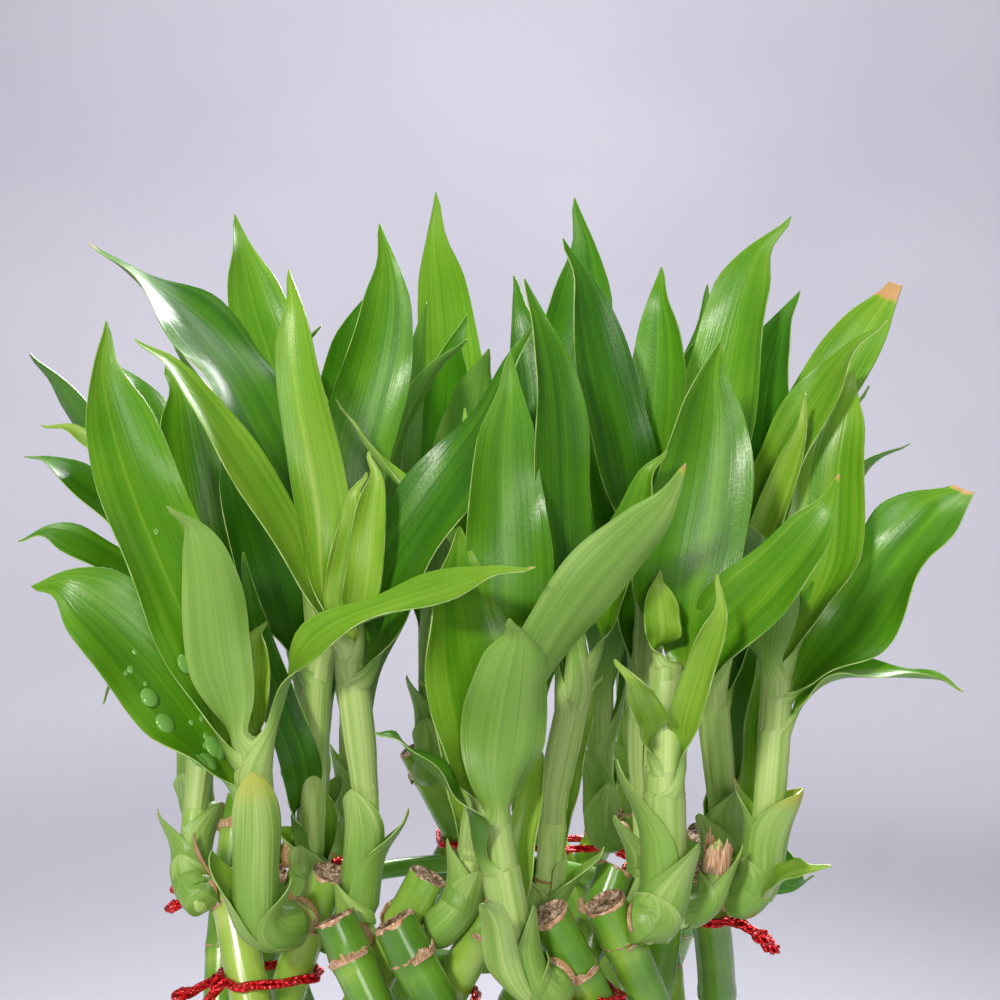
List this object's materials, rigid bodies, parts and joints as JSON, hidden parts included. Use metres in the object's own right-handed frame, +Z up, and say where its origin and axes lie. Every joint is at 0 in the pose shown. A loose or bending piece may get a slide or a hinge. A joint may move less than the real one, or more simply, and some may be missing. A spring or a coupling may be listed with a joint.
{
  "type": "lucky bamboo plant",
  "caption": "Potted lucky bamboo: leaning green stalks woven into a ring round a hoop, bound with foil wire, each with a leafy shoot, standing in a glazed bowl of pebbles.",
  "frame": {"origin": "centre of the bowl's flat underside", "axes": "+Z up along the ring's axis; -Y is the front, towards the viewer; +X to the viewer's right"},
  "size_m": [0.26, 0.2304, 0.405],
  "materials": {
    "stalk_skin": "glossy green cane skin with tan papery rings at the nodes",
    "leaf": "waxy green leaf, glossy above and matte below, with fine parallel veins and thin pale edges",
    "red_foil": "red metallic foil over a thin wire, twisted",
    "hoop_green": "glossy green plastic-coated wire hoop",
    "white_glaze": "plain white glazed stoneware",
    "pebble_stone": "smooth river pebbles, cream to grey"
  },
  "bodies": {
    "root": {"stalk_inner_01": "stalk_skin", "stalk_inner_02": "stalk_skin", "stalk_inner_03": "stalk_skin", "stalk_inner_04": "stalk_skin", "stalk_inner_05": "stalk_skin", "stalk_inner_06": "stalk_skin", "stalk_inner_07": "stalk_skin", "stalk_inner_08": "stalk_skin", "stalk_inner_09": "stalk_skin", "stalk_inner_10": "stalk_skin", "stalk_inner_11": "stalk_skin", "stalk_outer_01": "stalk_skin", "stalk_outer_02": "stalk_skin", "stalk_outer_03": "stalk_skin", "stalk_outer_04": "stalk_skin", "stalk_outer_05": "stalk_skin", "stalk_outer_06": "stalk_skin", "stalk_outer_07": "stalk_skin", "stalk_outer_08": "stalk_skin", "stalk_outer_09": "stalk_skin", "stalk_outer_10": "stalk_skin", "stalk_outer_11": "stalk_skin", "shoot_inner_01": "leaf", "shoot_inner_02": "leaf", "shoot_inner_03": "leaf", "shoot_inner_04": "leaf", "shoot_inner_05": "leaf", "shoot_inner_06": "leaf", "shoot_inner_07": "leaf", "shoot_inner_08": "leaf", "shoot_inner_09": "leaf", "shoot_inner_10": "leaf", "shoot_inner_11": "leaf", "shoot_outer_01": "leaf", "shoot_outer_02": "leaf", "shoot_outer_04": "leaf", "shoot_outer_05": "leaf", "shoot_outer_06": "leaf", "shoot_outer_07": "leaf", "shoot_outer_08": "leaf", "shoot_outer_09": "leaf", "shoot_outer_10": "leaf", "shoot_outer_11": "leaf", "wire_tie_01": "red_foil", "wire_tie_02": "red_foil", "wire_tie_03": "red_foil", "wire_tie_04": "red_foil", "wire_tie_05": "red_foil", "wire_tie_06": "red_foil", "wire_tie_07": "red_foil", "wire_tie_08": "red_foil", "wire_tie_09": "red_foil", "wire_tie_10": "red_foil", "wire_tie_11": "red_foil", "hoop": "hoop_green", "bowl": "white_glaze", "pebble_bed": "pebble_stone"}
  },
  "joints": []
}
